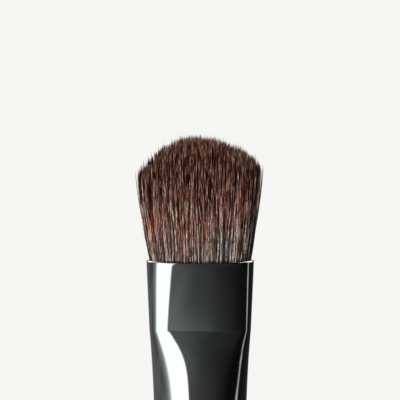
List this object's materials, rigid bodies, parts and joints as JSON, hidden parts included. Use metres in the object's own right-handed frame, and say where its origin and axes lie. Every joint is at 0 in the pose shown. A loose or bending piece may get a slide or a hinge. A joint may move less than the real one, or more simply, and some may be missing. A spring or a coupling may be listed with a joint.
{
  "type": "eyeshadow brush",
  "caption": "Flat shader makeup brush: a domed flat tuft of brown hair in a dark mirror-bright pressed metal ferrule, on a slim black lacquered wooden handle.",
  "frame": {"origin": "centre of the flat on the handle's butt", "axes": "+Z along the brush from the handle's butt to the tips of the hair; X across the broad side of the tuft; Y through its thickness"},
  "size_m": [0.0122, 0.0088, 0.1679],
  "materials": {
    "lacquered_wood": "black gloss lacquer over turned wood",
    "black_nickel": "brass tube with a dark mirror-bright black nickel plating",
    "brown_hair": "fine brown hair with lighter reddish and greyish strands",
    "thread": "waxed cotton thread",
    "resin": "amber epoxy resin",
    "glue": "set wood glue"
  },
  "bodies": {
    "root": {"handle": "lacquered_wood", "ferrule": "black_nickel", "hair_tuft": "brown_hair", "binding_thread": "thread", "resin_plug": "resin", "tenon_glue": "glue"}
  },
  "joints": []
}
